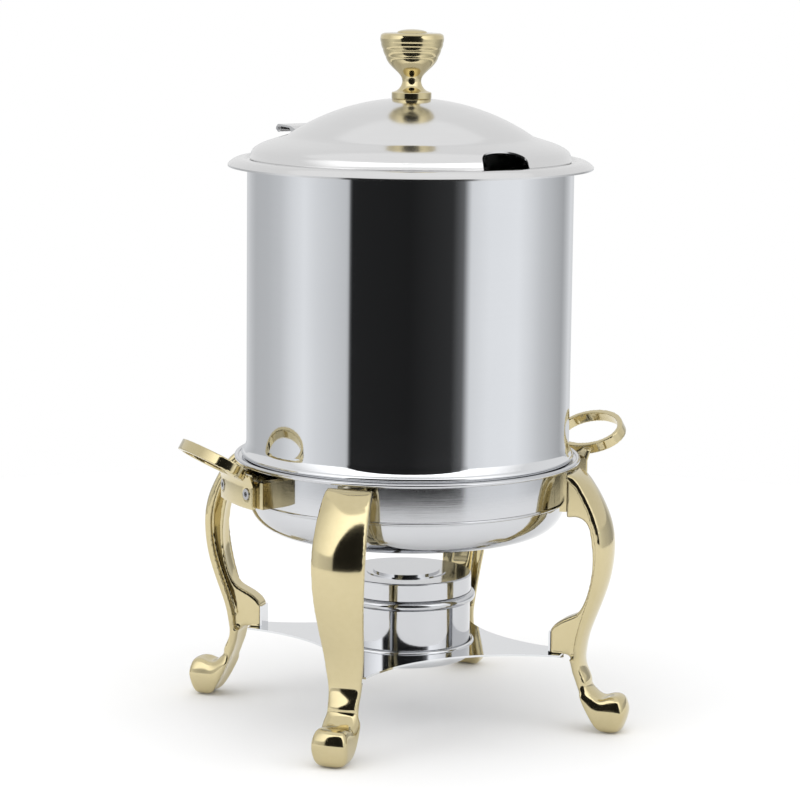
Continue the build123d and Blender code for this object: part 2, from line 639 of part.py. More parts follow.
def make_handle(angle):
    """Cast handle: a strap bent into a loop, with a curved foot plate under it."""
    plane = loop_plane(angle)
    middle = FOOT_PLATE_TOP - HANDLE_FOOT_HEIGHT / 2
    with BuildPart() as handle:
        with BuildSketch(plane.offset(-STRAP_WIDE / 2)):
            RectangleRounded(2 * LOOP_HALF_WIDTH + STRAP_THICK, 2 * LOOP_HALF_DEPTH + STRAP_THICK,
                             LOOP_CORNER + STRAP_THICK / 2)
            RectangleRounded(2 * LOOP_HALF_WIDTH - STRAP_THICK, 2 * LOOP_HALF_DEPTH - STRAP_THICK,
                             LOOP_CORNER - STRAP_THICK / 2, mode=Mode.SUBTRACT)
        extrude(amount=STRAP_WIDE)
        arc_plate(angle, FOOT_PLATE_INNER, FOOT_PLATE_OUTER, HANDLE_FOOT_HALF_ANGLE,
                  FOOT_PLATE_TOP - HANDLE_FOOT_HEIGHT, FOOT_PLATE_TOP)
        # nothing of the handle reaches behind the face that lies on the bracket
        with BuildSketch(Plane.XY.offset(FOOT_PLATE_TOP - HANDLE_FOOT_HEIGHT)):
            Circle(FOOT_PLATE_INNER)
        extrude(amount=HANDLE_FOOT_HEIGHT - 0.8, mode=Mode.SUBTRACT)
        for side in (-1, 1):
            at = angle + side * HANDLE_SCREW_ANGLE
            with BuildSketch(radial_plane(at, FOOT_PLATE_INNER - 1, middle)):
                Circle(HANDLE_SCREW_RADIUS + SCREW_GAP)
            extrude(amount=2 * HANDLE_FOOT_WALL, mode=Mode.SUBTRACT)
            with BuildSketch(radial_plane(at, FOOT_PLATE_INNER + HANDLE_FOOT_WALL / 2, middle)):
                Circle(HANDLE_SCREW_HEAD + SCREW_GAP)
            extrude(amount=HANDLE_FOOT_WALL, mode=Mode.SUBTRACT)
    return handle


def make_handle_screws(angle):
    """Two socket screws that hold a handle to its bracket."""
    middle = FOOT_PLATE_TOP - HANDLE_FOOT_HEIGHT / 2
    with BuildPart() as screws:
        for side in (-1, 1):
            at = angle + side * HANDLE_SCREW_ANGLE
            head = FOOT_PLATE_INNER + HANDLE_FOOT_WALL / 2
            with BuildSketch(radial_plane(at, head, middle)):
                Circle(HANDLE_SCREW_HEAD)
            extrude(amount=HANDLE_FOOT_WALL / 2 + 0.6)
            with BuildSketch(radial_plane(at, head, middle)):
                Circle(HANDLE_SCREW_RADIUS)
            extrude(amount=BRACKET_RADIUS - BRACKET_WALL - head)
            with BuildSketch(radial_plane(at, head + HANDLE_FOOT_WALL / 2 + 0.6, middle)):
                RegularPolygon(HANDLE_SCREW_HEAD * 0.5, 6)
            extrude(amount=-1.6, mode=Mode.SUBTRACT)
    return screws


for side_name, side_angle in HANDLE_ANGLES.items():
    save(make_bracket(side_angle), f"bracket_{side_name}")
    save(make_handle(side_angle), f"handle_{side_name}")
    save(make_handle_screws(side_angle), f"handle_screws_{side_name}")

# ================================================================ water pan
with BuildPart() as water_pan:
    with BuildSketch(Plane.XZ):
        with BuildLine():
            Line((0, PAN_BOTTOM), (PAN_RADIUS - PAN_CORNER, PAN_BOTTOM))
            RadiusArc((PAN_RADIUS - PAN_CORNER, PAN_BOTTOM), (PAN_RADIUS, PAN_BOTTOM + PAN_CORNER),
                      -PAN_CORNER)
            Line((PAN_RADIUS, PAN_BOTTOM + PAN_CORNER), (PAN_RADIUS, RIM_UNDER))
            Line((PAN_RADIUS, RIM_UNDER), (RIM_RADIUS - RIM_ROLL, RIM_UNDER))
            Line((RIM_RADIUS - RIM_ROLL, RIM_UNDER), (RIM_RADIUS - RIM_ROLL, RIM_TOP))
            Line((RIM_RADIUS - RIM_ROLL, RIM_TOP), (PAN_RADIUS - SHEET, RIM_TOP))
            inner, floor, corner = PAN_RADIUS - SHEET, PAN_BOTTOM + SHEET, PAN_CORNER - SHEET
            Line((inner, RIM_TOP), (inner, floor + corner))
            RadiusArc((inner, floor + corner), (inner - corner, floor), corner)
            Line((inner - corner, floor), (0, floor))
            Line((0, floor), (0, PAN_BOTTOM))
        make_face()
        with Locations((RIM_RADIUS - RIM_ROLL, RIM_TOP - SHEET / 4)):
            Circle(RIM_ROLL)
    revolve(axis=Axis.Z)

save(water_pan, "water_pan")

# ================================================================ jacket
with BuildPart() as jacket:
    skirt_top = JACKET_BOTTOM + SKIRT_HEIGHT
    roll_centre = (SKIRT_RADIUS - SKIRT_ROLL, JACKET_BOTTOM + SKIRT_ROLL)
    flare_foot = (SKIRT_RADIUS - 0.9, JACKET_BOTTOM + SKIRT_ROLL + 1.6)
    inner_foot = (flare_foot[0] - SHEET - 0.3, flare_foot[1] - 0.4)
    with BuildSketch(Plane.XZ):
        with BuildLine():
            Line((JACKET_RADIUS, skirt_top), (JACKET_RADIUS, JACKET_TOP))
            Line((JACKET_RADIUS, JACKET_TOP), (JACKET_RADIUS - SHEET, JACKET_TOP))
            Line((JACKET_RADIUS - SHEET, JACKET_TOP), (JACKET_RADIUS - SHEET, skirt_top))
            TangentArc((JACKET_RADIUS - SHEET, skirt_top), inner_foot, tangent=(0, -1))
            Line(inner_foot, flare_foot)
            TangentArc((JACKET_RADIUS, skirt_top), flare_foot, tangent=(0, -1))
        make_face()
        with Locations(roll_centre):
            Circle(SKIRT_ROLL)
            Circle(SKIRT_ROLL - SHEET, mode=Mode.SUBTRACT)
        with Locations((JACKET_RADIUS, JACKET_TOP - TOP_BEAD)):
            Circle(TOP_BEAD)
    revolve(axis=Axis.Z)

save(jacket, "jacket")

# ================================================================ soup inset
with BuildPart() as soup_inset:
    with BuildSketch(Plane.XZ):
        with BuildLine():
            step_top = FLANGE_TOP + FLANGE_STEP
            roll_top = step_top - FLANGE_DROP
            Line((0, INSET_BOTTOM), (INSET_RADIUS - INSET_CORNER, INSET_BOTTOM))
            RadiusArc((INSET_RADIUS - INSET_CORNER, INSET_BOTTOM),
                      (INSET_RADIUS, INSET_BOTTOM + INSET_CORNER), -INSET_CORNER)
            Line((INSET_RADIUS, INSET_BOTTOM + INSET_CORNER), (INSET_RADIUS, FLANGE_UNDER))
            Line((INSET_RADIUS, FLANGE_UNDER), (FLANGE_STEP_RADIUS + SHEET, FLANGE_UNDER))
            ThreePointArc((FLANGE_STEP_RADIUS + SHEET, FLANGE_UNDER),
                          (FLANGE_RADIUS - 5, roll_top + 0.9), (FLANGE_RADIUS - SHEET, roll_top - 2.6))
            Line((FLANGE_RADIUS - SHEET, roll_top - 2.6), (FLANGE_RADIUS, roll_top - 2.6))
            Line((FLANGE_RADIUS, roll_top - 2.6), (FLANGE_RADIUS, roll_top - 1.2))
            ThreePointArc((FLANGE_RADIUS, roll_top - 1.2), (FLANGE_RADIUS - 4, roll_top + 2.2),
                          (FLANGE_STEP_RADIUS + 1.6, step_top))
            Line((FLANGE_STEP_RADIUS + 1.6, step_top), (FLANGE_STEP_RADIUS, FLANGE_TOP))
            Line((FLANGE_STEP_RADIUS, FLANGE_TOP), (INSET_RADIUS - SHEET, FLANGE_TOP))
            inner, floor, corner = INSET_RADIUS - SHEET, INSET_BOTTOM + SHEET, INSET_CORNER - SHEET
            Line((inner, FLANGE_TOP), (inner, floor + corner))
            RadiusArc((inner, floor + corner), (inner - corner, floor), corner)
            Line((inner - corner, floor), (0, floor))
            Line((0, floor), (0, INSET_BOTTOM))
        make_face()
    revolve(axis=Axis.Z)

save(soup_inset, "soup_inset")

# ================================================================ lid
def lid_top_line():
    """Outer line of the lid from its edge to the crown, in the current line."""
    edge = LID_RADIUS - LID_EDGE
    band_top = LID_SEAT + LID_BAND
    turn = LID_SEAT + SHOULDER_RISE
    Line((edge, LID_SEAT + LID_EDGE), (edge - 0.6, band_top))
    ThreePointArc((edge - 0.6, band_top), (edge - 10, (band_top * 0.42 + turn * 0.58)),
                  (SHOULDER_RADIUS, turn))
    crown_arc(SHOULDER_RADIUS, turn, CROWN_TOP)


def lid_solid(mode=Mode.ADD):
    """Space under the lid's outer surface, revolved into or out of the current part."""
    with BuildSketch(Plane.XZ) as section:
        with BuildLine():
            lid_top_line()
            Line((0, CROWN_TOP), (0, LID_SEAT + LID_EDGE))
            Line((0, LID_SEAT + LID_EDGE), (LID_RADIUS - LID_EDGE, LID_SEAT + LID_EDGE))
        make_face()
    revolve(section.sketch, axis=Axis.Z, mode=mode)


with BuildPart() as lid_dome:
    lid_solid()
    offset(amount=-SHEET, openings=lid_dome.faces().sort_by(Axis.Z)[0])
    with BuildSketch(Plane.XZ):
        with Locations((LID_RADIUS - LID_EDGE, LID_SEAT + LID_EDGE)):
            Circle(LID_EDGE)
    revolve(axis=Axis.Z)
    with BuildSketch(radial_plane(NOTCH_ANGLE, SHOULDER_RADIUS, LID_SEAT - 1)):
        Rectangle(NOTCH_WIDTH, NOTCH_HEIGHT + 1, align=(Align.CENTER, Align.MIN))
    extrude(amount=LID_RADIUS, mode=Mode.SUBTRACT)
    with Locations((0, 0, CROWN_TOP + 1)):
        Hole(KNOB_SCREW_RADIUS + SCREW_GAP, depth=3 * SHEET)

save(lid_dome, "lid_dome")


def knob_height(share):
    """Height of a share of the knob above its foot."""
    return KNOB_BOTTOM + KNOB_HEIGHT * share


with BuildPart() as knob:
    cup = KNOB_CUP_RADIUS
    with BuildSketch(Plane.XZ):
        with BuildLine():
            Line((0, KNOB_BOTTOM), (KNOB_FOOT_RADIUS, KNOB_BOTTOM))
            Line((KNOB_FOOT_RADIUS, KNOB_BOTTOM), (KNOB_FOOT_RADIUS, KNOB_BOTTOM + KNOB_FOOT_HEIGHT))
            Spline([(KNOB_FOOT_RADIUS, KNOB_BOTTOM + KNOB_FOOT_HEIGHT), (10.5, knob_height(0.15)),
                    (KNOB_NECK_RADIUS, knob_height(0.25)), (9.2, knob_height(0.36)),
                    (13.6, knob_height(0.44)), (cup * 0.71, knob_height(0.52)),
                    (cup * 0.88, knob_height(0.68)), (cup, knob_height(0.86))])
            ThreePointArc((cup, knob_height(0.86)), (cup + 0.3, knob_height(0.89)),
                          (cup - 2, knob_height(0.94)))
            Line((cup - 2, knob_height(0.94)), (KNOB_CAP_RADIUS, knob_height(0.945)))
            crown_arc(KNOB_CAP_RADIUS, knob_height(0.945), knob_height(1.0))
            Line((0, knob_height(1.0)), (0, KNOB_BOTTOM))
        make_face()
        # turned grooves around the cup
        for share, radius in ((0.80, 0.975), (0.71, 0.905), (0.62, 0.825), (0.54, 0.735)):
            with Locations((cup * radius + 0.5, knob_height(share))):
                Circle(0.75, mode=Mode.SUBTRACT)
    revolve(axis=Axis.Z)
    # the foot lies on the crown
    lid_solid(mode=Mode.SUBTRACT)
    with BuildSketch(Plane.XY.offset(KNOB_BOTTOM - 2)):
        Circle(KNOB_SCREW_RADIUS + SCREW_GAP)
    extrude(amount=KNOB_SCREW_LENGTH + 2, mode=Mode.SUBTRACT)

save(knob, "knob")

with BuildPart() as knob_washer:
    with BuildSketch(Plane.XY.offset(WASHER_TOP)):
        Circle(WASHER_RADIUS)
        Circle(KNOB_SCREW_RADIUS + SCREW_GAP, mode=Mode.SUBTRACT)
    extrude(amount=-WASHER_SHEET)

save(knob_washer, "knob_washer")

with BuildPart() as knob_screw:
    head_top = WASHER_TOP - WASHER_SHEET
    with BuildSketch(Plane.XY.offset(head_top)):
        Circle(KNOB_SCREW_RADIUS * 1.9)
    extrude(amount=-KNOB_SCREW_HEAD)
    fillet(knob_screw.edges().group_by(Axis.Z)[0], radius=1.2)
    with BuildSketch(Plane.XY.offset(head_top)):
        Circle(KNOB_SCREW_RADIUS)
    extrude(amount=KNOB_SCREW_LENGTH)
    with BuildSketch(Plane.XY.offset(head_top - KNOB_SCREW_HEAD)):
        Rectangle(KNOB_SCREW_RADIUS * 4, 1.2)
    extrude(amount=1.2, mode=Mode.SUBTRACT)

save(knob_screw, "knob_screw")

# ================================================================ hinge
# Hinge frame: local X outwards from the axis, local Y up, sketched across the middle of the hinge.


def hinge_barrel(start, end, bore):
    """Length of barrel between two distances from the hinge's middle, both sides alike."""
    for side in (-1, 1):
        near = side_plane(HINGE_ANGLE).offset(-side * start)
        with BuildSketch(near) as ring:
            with Locations((HINGE_PIN_R, HINGE_PIN_Z)):
                Circle(HINGE_BARREL)
                Circle(bore, mode=Mode.SUBTRACT)
        extrude(ring.sketch, amount=-side * (end - start))


def clear_barrel(start, end):
    """Cut away room for the other leaf's knuckles."""
    for side in (-1, 1):
        near = side_plane(HINGE_ANGLE).offset(-side * start)
        with BuildSketch(near) as room:
            with Locations((HINGE_PIN_R, HINGE_PIN_Z)):
                Circle(HINGE_BARREL + 2 * HINGE_END_GAP)
        extrude(room.sketch, amount=-side * (end - start), mode=Mode.SUBTRACT)


with BuildPart() as hinge_lid_leaf:
    with BuildSketch(side_plane(HINGE_ANGLE)):
        with BuildLine():
            top = HINGE_PIN_Z + HINGE_BARREL
            Polyline(
                (LEAF_REACH, LID_SEAT + 10), (LEAF_REACH, top - 4.2), (LEAF_REACH + 12, top - 0.6),
                (HINGE_PIN_R, top), (HINGE_PIN_R, top - HINGE_LEAF),
                (LEAF_REACH + 13, top - HINGE_LEAF - 0.8), (LEAF_REACH + 5, LID_SEAT + 10),
                close=True)
        make_face()
    extrude(amount=HINGE_WIDTH / 2, both=True)
    clear_barrel(0, KNUCKLE_END)
    hinge_barrel(KNUCKLE_END, HINGE_WIDTH / 2, HINGE_PIN + HINGE_FIT)
    for side in (-1, 1):
        with BuildSketch(side_plane(HINGE_ANGLE).offset(side * KNUCKLE_END)):
            with Locations((HINGE_PIN_R, HINGE_PIN_Z)):
                Circle(HINGE_PIN + HINGE_FIT)
        extrude(amount=side * HINGE_WIDTH, mode=Mode.SUBTRACT)
    lid_solid(mode=Mode.SUBTRACT)

save(hinge_lid_leaf, "hinge_lid_leaf")

with BuildPart() as hinge_flange_leaf:
    with BuildSketch(side_plane(HINGE_ANGLE)):
        with Locations((HINGE_PIN_R, HINGE_PIN_Z)):
            Rectangle(HINGE_LEAF, HINGE_PIN_Z - FLANGE_TOP + 4, align=(Align.CENTER, Align.MAX))
    extrude(amount=HINGE_KNUCKLE / 2, both=True)
    hinge_barrel(0, HINGE_KNUCKLE / 2, HINGE_PIN)
    with BuildSketch(side_plane(HINGE_ANGLE).offset(-HINGE_KNUCKLE)):
        with Locations((HINGE_PIN_R, HINGE_PIN_Z)):
            Circle(HINGE_PIN)
    extrude(amount=2 * HINGE_KNUCKLE, mode=Mode.SUBTRACT)
    with BuildSketch(Plane.XZ) as flange_space:
        with BuildLine():
            ThreePointArc((FLANGE_RADIUS, roll_top - 1.2), (FLANGE_RADIUS - 4, roll_top + 2.2),
                          (FLANGE_STEP_RADIUS + 1.6, step_top))
            Polyline((FLANGE_STEP_RADIUS + 1.6, step_top), (FLANGE_STEP_RADIUS, FLANGE_TOP),
                     (FLANGE_STEP_RADIUS, FLANGE_TOP - 20), (FLANGE_RADIUS, FLANGE_TOP - 20),
                     (FLANGE_RADIUS, roll_top - 1.2))
        make_face()
    revolve(axis=Axis.Z, mode=Mode.SUBTRACT)

save(hinge_flange_leaf, "hinge_flange_leaf")

with BuildPart() as hinge_pin:
    with BuildSketch(side_plane(HINGE_ANGLE)):
        with Locations((HINGE_PIN_R, HINGE_PIN_Z)):
            Circle(HINGE_PIN)
    extrude(amount=HINGE_WIDTH / 2 + 1.5, both=True)

save(hinge_pin, "hinge_pin")
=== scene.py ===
"""Looks of the soup kettle: finishes, refined pieces and a plain studio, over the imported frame."""

import logging
from dataclasses import dataclass, field
from enum import Enum
from math import cos, pi, radians, sin, sqrt

import bpy
from mathutils import Matrix, Vector

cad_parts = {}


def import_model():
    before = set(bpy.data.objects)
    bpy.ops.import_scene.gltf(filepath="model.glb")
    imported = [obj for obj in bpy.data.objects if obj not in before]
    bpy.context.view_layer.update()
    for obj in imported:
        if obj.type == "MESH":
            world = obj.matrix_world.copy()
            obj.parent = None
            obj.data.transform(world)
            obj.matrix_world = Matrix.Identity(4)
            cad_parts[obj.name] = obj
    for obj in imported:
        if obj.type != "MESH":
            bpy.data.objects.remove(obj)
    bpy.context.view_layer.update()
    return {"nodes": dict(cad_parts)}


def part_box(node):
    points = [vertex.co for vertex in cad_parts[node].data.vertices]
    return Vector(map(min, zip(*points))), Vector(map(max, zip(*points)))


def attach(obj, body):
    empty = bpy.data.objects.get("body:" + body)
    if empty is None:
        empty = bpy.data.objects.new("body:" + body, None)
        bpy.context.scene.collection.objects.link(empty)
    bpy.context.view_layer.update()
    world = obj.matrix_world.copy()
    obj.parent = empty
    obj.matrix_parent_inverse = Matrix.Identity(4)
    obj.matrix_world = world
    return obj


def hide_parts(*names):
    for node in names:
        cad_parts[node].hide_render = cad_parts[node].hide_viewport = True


log = logging.getLogger("soup_kettle")
MM = 0.001


# ------------------------------------------------------------------ shader maths
class Wire:
    """One output socket of a node tree, with arithmetic that adds Math nodes."""

    def __init__(self, tree: "Shop", socket: bpy.types.NodeSocket) -> None:
        """Keep the tree and the socket."""
        self.tree = tree
        self.socket = socket

    def _math(self, operation: str, first: object, second: object = 0.0) -> "Wire":
        """Add a Math node.

        Args:
            operation: the node's operation.
            first: value or wire of the first input.
            second: value or wire of the second input.

        Returns:
            The node's result.
        """
        return self.tree.node("ShaderNodeMath", {"operation": operation}, {0: first, 1: second})

    def __add__(self, other: object) -> "Wire":
        """Sum."""
        return self._math("ADD", self, other)

    __radd__ = __add__

    def __sub__(self, other: object) -> "Wire":
        """Difference."""
        return self._math("SUBTRACT", self, other)

    def __rsub__(self, other: object) -> "Wire":
        """Difference, from a number."""
        return self._math("SUBTRACT", other, self)

    def __mul__(self, other: object) -> "Wire":
        """Product."""
        return self._math("MULTIPLY", self, other)

    __rmul__ = __mul__

    def at_least(self, floor: float) -> "Wire":
        """The wire's value, held above a floor."""
        return self._math("MAXIMUM", self, floor)

    def power(self, exponent: float) -> "Wire":
        """The wire's value to a power."""
        return self._math("POWER", self, exponent)


class Shop:
    """A material's node tree and the one way in which nodes are put in it."""

    def __init__(self, name: str) -> None:
        """Make an empty node material of that name."""
        self.material = bpy.data.materials.new(name)
        self.material.use_nodes = True
        self.tree = self.material.node_tree
        self.tree.nodes.clear()

    def node(self, kind: str, settings: dict[str, object], inputs: dict[object, object],
             out: object = 0) -> Wire:
        """Add a node.

        Args:
            kind: the node's type.
            settings: its own settings; "stops" holds the stops of a colour ramp.
            inputs: value or wire of each named or numbered socket.
            out: name or number of the output that is wanted.

        Returns:
            That output.
        """
        made = self.tree.nodes.new(kind)
        for key, value in settings.items():
            if key == "stops":
                ramp = made.color_ramp
                while len(ramp.elements) < len(value):
                    ramp.elements.new(1.0)
                for element, (place, colour) in zip(ramp.elements, value):
                    element.position = place
                    element.color = (*colour, 1.0)
            else:
                setattr(made, key, value)
        for key, value in inputs.items():
            if isinstance(value, Wire):
                self.tree.links.new(value.socket, made.inputs[key])
            else:
                made.inputs[key].default_value = value
        return Wire(self, made.outputs[out])

    def place(self) -> Wire:
        """The point in the object's own frame."""
        return self.node("ShaderNodeTexCoord", {}, {}, "Object")

    def stretched(self, scale: tuple[float, float, float]) -> Wire:
        """The object point, stretched along its axes."""
        return self.node("ShaderNodeMapping", {}, {"Vector": self.place(), "Scale": scale})

    def noise(self, vector: Wire, scale: float, detail: float = 3.0) -> Wire:
        """Smooth noise between 0 and 1."""
        return self.node("ShaderNodeTexNoise", {}, {"Vector": vector, "Scale": scale,
                                                    "Detail": detail}, "Fac")

    def mix(self, factor: object, low: object, high: object) -> Wire:
        """Blend of two colours, each a wire or three numbers."""
        ends = [end if isinstance(end, Wire) else (*end, 1.0) for end in (low, high)]
        return self.node("ShaderNodeMix", {"data_type": "RGBA"},
                         {0: factor, 6: ends[0], 7: ends[1]}, 2)

    def surface(self, **inputs: object) -> bpy.types.Material:
        """Finish the material with a Principled surface.

        Args:
            inputs: the shader's sockets, with underscores for blanks.

        Returns:
            The material.
        """
        sockets = {key.replace("_", " "): value for key, value in inputs.items()}
        shader = self.node("ShaderNodeBsdfPrincipled", {}, sockets)
        self._output(shader)
        return self.material

    def _output(self, shader: Wire) -> None:
        """Lead the shader to the material's output."""
        end = self.tree.nodes.new("ShaderNodeOutputMaterial")
        self.tree.links.new(shader.socket, end.inputs["Surface"])


class Grain(Enum):
    """Which way the fine marks of the last polish run."""

    AROUND = (3.0, 3.0, 260.0)
    NONE = (40.0, 40.0, 40.0)


@dataclass(frozen=True)
class Metal:
    """A polished metal with faint smudges, fine marks and slight waves in the sheet."""

    name: str
    low: tuple[float, float, float]
    high: tuple[float, float, float]
    rough_low: float
    rough_high: float
    grain: Grain = Grain.NONE
    mark: float = 0.02
    wave: float = 0.0

    def make(self) -> bpy.types.Material:
        """Build the material.

        Returns:
            The finished material.
        """
        shop = Shop(self.name)
        point = shop.place()
        cloud = shop.noise(point, 14.0, 4.0)
        streak = shop.noise(shop.stretched(self.grain.value), 6.0, 5.0)
        smudge = shop.noise(point, 55.0, 6.0)
        tone = cloud * 0.65 + streak * 0.35
        rough = self.rough_low + (smudge * 0.6 + streak * 0.4) * (self.rough_high - self.rough_low)
        height = streak * self.mark + shop.noise(point, 9.0, 1.0) * self.wave
        bump = shop.node("ShaderNodeBump", {}, {"Height": height, "Strength": 0.25,
                                                "Distance": 0.001}, "Normal")
        return shop.surface(Base_Color=shop.mix(tone, self.low, self.high), Metallic=1.0,
                            Roughness=rough, Normal=bump)


@dataclass(frozen=True)
class Gel:
    """Wet, slightly cloudy fuel gel."""

    name: str = "fuel_gel_wet"

    def make(self) -> bpy.types.Material:
        """Build the material."""
        shop = Shop(self.name)
        cloud = shop.noise(shop.place(), 60.0, 4.0)
        return shop.surface(Base_Color=shop.mix(cloud, (0.55, 0.2, 0.33), (0.75, 0.38, 0.5)),
                            Roughness=0.12 + cloud * 0.1, Coat_Weight=0.6)


POLISHED = Metal("steel_polished", (0.70, 0.71, 0.73), (0.76, 0.77, 0.785), 0.03, 0.075,
                 Grain.AROUND, 0.012, 0.05)
PAN_STEEL = Metal("steel_pan", (0.55, 0.56, 0.58), (0.625, 0.63, 0.645), 0.05, 0.11,
                  Grain.AROUND, 0.015, 0.05)
SATIN = Metal("steel_satin", (0.66, 0.66, 0.665), (0.75, 0.75, 0.75), 0.12, 0.2,
              Grain.AROUND, 0.02, 0.03)
SCREW = Metal("steel_screws", (0.42, 0.42, 0.43), (0.56, 0.56, 0.57), 0.2, 0.34)
TIN = Metal("tinned_can", (0.52, 0.52, 0.5), (0.66, 0.66, 0.63), 0.25, 0.4)
BRASS = Metal("brass_polished", (0.54, 0.46, 0.255), (0.67, 0.585, 0.37), 0.06, 0.15,
              Grain.NONE, 0.02, 0.22)


# ------------------------------------------------------------------ modelling
class Bench:
    """Modelling steps that are shared by the pieces."""

    @staticmethod
    def clear() -> None:
        """Deselect everything."""
        bpy.ops.object.select_all(action="DESELECT")

    @staticmethod
    def turned(name: str, points: list[tuple[float, float]], steps: int = 144,
               sharp: float = 40.0) -> bpy.types.Object:
        """Extrude a section from point to point and spin it about the kettle's axis.

        Args:
            name: the piece's name.
            points: (radius, height) of the section, in millimetres, in order.
            steps: spin steps.
            sharp: edges above this angle, in degrees, stay sharp.

        Returns:
            The piece.
        """
        Bench.clear()
        start = Vector((points[0][0], 0, points[0][1])) * MM
        bpy.ops.mesh.primitive_plane_add(size=MM, location=start)
        piece = bpy.context.object
        piece.name = name
        bpy.ops.object.mode_set(mode="EDIT")
        bpy.ops.mesh.select_all(action="SELECT")
        bpy.ops.mesh.merge(type="CENTER")
        for before, after in zip(points, points[1:]):
            step = Vector((after[0] - before[0], 0, after[1] - before[1])) * MM
            bpy.ops.mesh.extrude_region_move(TRANSFORM_OT_translate={"value": step})
        bpy.ops.mesh.select_all(action="SELECT")
        bpy.ops.mesh.spin(steps=steps, angle=2 * pi, center=(0, 0, 0), axis=(0, 0, 1))
        bpy.ops.mesh.select_all(action="SELECT")
        bpy.ops.mesh.remove_doubles(threshold=0.00001)
        bpy.ops.mesh.normals_make_consistent(inside=False)
        bpy.ops.object.mode_set(mode="OBJECT")
        return Bench.settled(piece, sharp)

    @staticmethod
    def settled(piece: bpy.types.Object, sharp: float = 40.0) -> bpy.types.Object:
        """Put the object at the origin with its place in its mesh, and smooth it.

        Args:
            piece: the piece.
            sharp: edges above this angle, in degrees, stay sharp.

        Returns:
            The same piece.
        """
        Bench.clear()
        piece.select_set(True)
        bpy.context.view_layer.objects.active = piece
        bpy.ops.object.transform_apply(location=True, rotation=True, scale=True)
        bpy.ops.object.shade_smooth_by_angle(angle=radians(sharp))
        return piece

    @staticmethod
    def dress(piece: bpy.types.Object, material: bpy.types.Material) -> None:
        """Give a piece one material."""
        if piece.material_slots:
            for slot in piece.material_slots:
                slot.material = material
        else:
            piece.data.materials.append(material)

    @staticmethod
    def arc(start: float, end: float, centre: tuple[float, float], radius: float,
            count: int) -> list[tuple[float, float]]:
        """Points of an arc in a section, angles in degrees from the outward direction.

        Args:
            start: first angle.
            end: last angle.
            centre: the arc's centre.
            radius: its radius.
            count: number of steps.

        Returns:
            The points, both ends included.
        """
        angles = [radians(start + (end - start) * step / count) for step in range(count + 1)]
        return [(centre[0] + radius * cos(a), centre[1] + radius * sin(a)) for a in angles]


